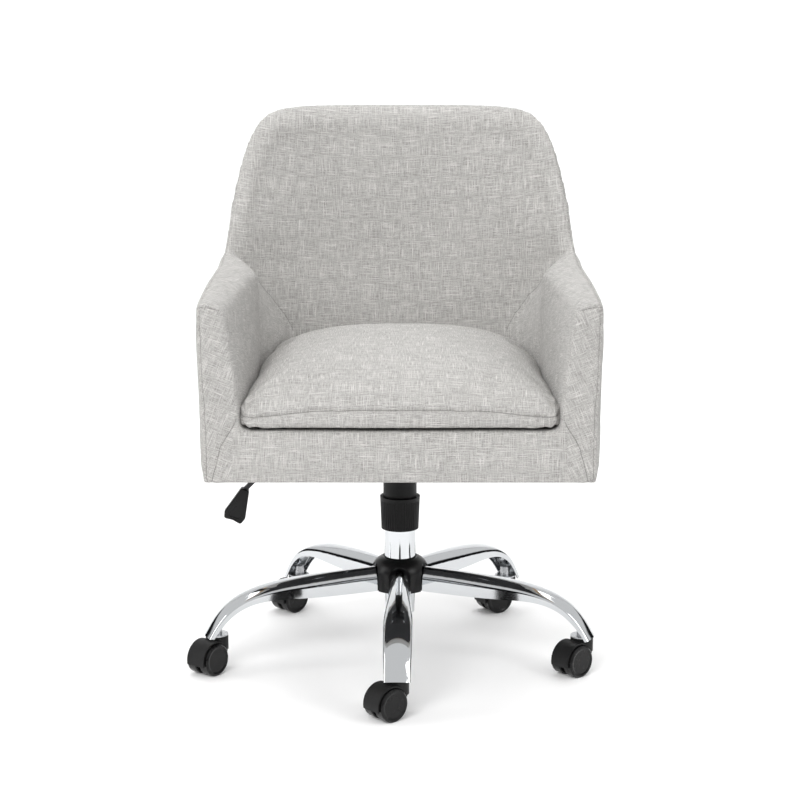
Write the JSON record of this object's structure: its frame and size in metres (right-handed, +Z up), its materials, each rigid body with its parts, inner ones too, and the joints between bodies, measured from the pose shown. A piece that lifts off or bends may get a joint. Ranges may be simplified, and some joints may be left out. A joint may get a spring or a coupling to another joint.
{
  "type": "swivel office chair",
  "caption": "Padded tub seat with arms on a height-adjusting swivel column, chromed star base, twin-wheel swivelling casters and a release lever.",
  "frame": {"origin": "on the floor under the axis of the lift column", "axes": "+Z up, the seat faces -Y, the sitter's left is +X"},
  "size_m": [0.6322, 0.6678, 0.852],
  "materials": {
    "upholstery": "light grey tweed weave",
    "chrome": "mirror",
    "zinc_steel": "zinc plated",
    "black_steel": "satin powder coat",
    "black_plastic": "satin moulded",
    "black_nylon": "matte moulded",
    "wheel_nylon": "semi-gloss moulded",
    "bush_plastic": "natural acetal",
    "plywood": "raw plywood",
    "black_cloth": "non-woven"
  },
  "bodies": {
    "base": {"hub_ring": "zinc_steel", "hub_cover": "black_plastic", "stem_sockets": "zinc_steel", "column_tube": "chrome", "guide_bush": "bush_plastic", "leg_front": "chrome", "leg_left": "chrome", "leg_rear_left": "chrome", "leg_rear_right": "chrome", "leg_right": "chrome"},
    "rod": {"piston_rod": "zinc_steel", "thrust_bearing": "zinc_steel", "retaining_clip": "zinc_steel"},
    "seat": {"pressure_cylinder": "black_steel", "spindle_socket": "black_steel", "cover_tube": "black_plastic", "seat_plate": "black_steel", "lever_pin": "zinc_steel", "seat_bolts": "zinc_steel", "tee_nuts": "zinc_steel", "seat_board": "plywood", "dust_cover": "black_cloth", "seat_deck": "upholstery", "front_rail": "upholstery", "arm_frame_right": "plywood", "arm_frame_left": "plywood", "arm_right": "upholstery", "arm_left": "upholstery", "back_frame": "plywood", "back": "upholstery", "seat_cushion": "upholstery"},
    "lever": {"lever_rod": "black_steel", "lever_knob": "black_plastic"},
    "valve": {"valve_pin": "zinc_steel"},
    "collar": {"cover_collar": "black_plastic"},
    "caster_front": {"caster_stem_front": "zinc_steel", "caster_hood_front": "black_nylon", "caster_axle_front": "zinc_steel"},
    "wheel_outer_front": {"wheel_outer_front": "wheel_nylon"},
    "wheel_inner_front": {"wheel_inner_front": "wheel_nylon"},
    "caster_left": {"caster_stem_left": "zinc_steel", "caster_hood_left": "black_nylon", "caster_axle_left": "zinc_steel"},
    "wheel_outer_left": {"wheel_outer_left": "wheel_nylon"},
    "wheel_inner_left": {"wheel_inner_left": "wheel_nylon"},
    "caster_rear_left": {"caster_stem_rear_left": "zinc_steel", "caster_hood_rear_left": "black_nylon", "caster_axle_rear_left": "zinc_steel"},
    "wheel_outer_rear_left": {"wheel_outer_rear_left": "wheel_nylon"},
    "wheel_inner_rear_left": {"wheel_inner_rear_left": "wheel_nylon"},
    "caster_rear_right": {"caster_stem_rear_right": "zinc_steel", "caster_hood_rear_right": "black_nylon", "caster_axle_rear_right": "zinc_steel"},
    "wheel_outer_rear_right": {"wheel_outer_rear_right": "wheel_nylon"},
    "wheel_inner_rear_right": {"wheel_inner_rear_right": "wheel_nylon"},
    "caster_right": {"caster_stem_right": "zinc_steel", "caster_hood_right": "black_nylon", "caster_axle_right": "zinc_steel"},
    "wheel_outer_right": {"wheel_outer_right": "wheel_nylon"},
    "wheel_inner_right": {"wheel_inner_right": "wheel_nylon"}
  },
  "joints": [
    {"name": "seat_swivel", "type": "hinge", "parent": "base", "child": "rod", "pos_m": [0, 0, 0.1], "axis": [0, 0, 1], "continuous": true},
    {"name": "seat_lift", "type": "slide", "parent": "rod", "child": "seat", "axis": [0, 0, 1], "range_m": [-0.075, 0]},
    {"name": "collar_slide", "type": "slide", "parent": "rod", "child": "collar", "axis": [0, 0, 1], "range_m": [-0.045, 0]},
    {"name": "lever_lift", "type": "hinge", "parent": "seat", "child": "lever", "pos_m": [-0.036, 0, 0.336], "axis": [0, 1, 0], "range_deg": [0, 4], "stiffness_Nm_per_rad": 3},
    {"name": "valve_press", "type": "slide", "parent": "seat", "child": "valve", "axis": [0, 0, -1], "range_m": [0, 0.0026]},
    {"name": "caster_swivel_front", "type": "hinge", "parent": "base", "child": "caster_front", "pos_m": [-0.00416, -0.29797, 0.06], "axis": [0, 0, 1], "continuous": true},
    {"name": "wheel_outer_front_spin", "type": "hinge", "parent": "caster_front", "child": "wheel_outer_front", "pos_m": [-0.02101, -0.31211, 0.025], "axis": [0.6428, -0.766, 0], "continuous": true},
    {"name": "wheel_inner_front_spin", "type": "hinge", "parent": "caster_front", "child": "wheel_inner_front", "pos_m": [-0.02101, -0.31211, 0.025], "axis": [0.6428, -0.766, 0], "continuous": true},
    {"name": "caster_swivel_left", "type": "hinge", "parent": "base", "child": "caster_left", "pos_m": [0.2821, -0.09603, 0.06], "axis": [0, 0, 1], "continuous": true},
    {"name": "wheel_outer_left_spin", "type": "hinge", "parent": "caster_left", "child": "wheel_outer_left", "pos_m": [0.26601, -0.11104, 0.025], "axis": [0.682, -0.7314, 0], "continuous": true},
    {"name": "wheel_inner_left_spin", "type": "hinge", "parent": "caster_left", "child": "wheel_inner_left", "pos_m": [0.26601, -0.11104, 0.025], "axis": [0.682, -0.7314, 0], "continuous": true},
    {"name": "caster_swivel_rear_left", "type": "hinge", "parent": "base", "child": "caster_rear_left", "pos_m": [0.17851, 0.23862, 0.06], "axis": [0, 0, 1], "continuous": true},
    {"name": "wheel_outer_rear_left_spin", "type": "hinge", "parent": "caster_rear_left", "child": "wheel_outer_rear_left", "pos_m": [0.15946, 0.22762, 0.025], "axis": [0.5, -0.866, 0], "continuous": true},
    {"name": "wheel_inner_rear_left_spin", "type": "hinge", "parent": "caster_rear_left", "child": "wheel_inner_rear_left", "pos_m": [0.15946, 0.22762, 0.025], "axis": [0.5, -0.866, 0], "continuous": true},
    {"name": "caster_swivel_rear_right", "type": "hinge", "parent": "base", "child": "caster_rear_right", "pos_m": [-0.17178, 0.24351, 0.06], "axis": [0, 0, 1], "continuous": true},
    {"name": "wheel_outer_rear_right_spin", "type": "hinge", "parent": "caster_rear_right", "child": "wheel_outer_rear_right", "pos_m": [-0.1876, 0.22823, 0.025], "axis": [0.6947, -0.7193, 0], "continuous": true},
    {"name": "wheel_inner_rear_right_spin", "type": "hinge", "parent": "caster_rear_right", "child": "wheel_inner_rear_right", "pos_m": [-0.1876, 0.22823, 0.025], "axis": [0.6947, -0.7193, 0], "continuous": true},
    {"name": "caster_swivel_right", "type": "hinge", "parent": "base", "child": "caster_right", "pos_m": [-0.28467, -0.08812, 0.06], "axis": [0, 0, 1], "continuous": true},
    {"name": "wheel_outer_right_spin", "type": "hinge", "parent": "caster_right", "child": "wheel_outer_right", "pos_m": [-0.29822, -0.10546, 0.025], "axis": [0.788, -0.6157, 0], "continuous": true},
    {"name": "wheel_inner_right_spin", "type": "hinge", "parent": "caster_right", "child": "wheel_inner_right", "pos_m": [-0.29822, -0.10546, 0.025], "axis": [0.788, -0.6157, 0], "continuous": true}
  ],
  "couplings": [
    {"joint": "collar_slide", "follows": "seat_lift", "ratio": 0.6},
    {"joint": "valve_press", "follows": "lever_lift", "m_per_rad": 0.036}
  ]
}
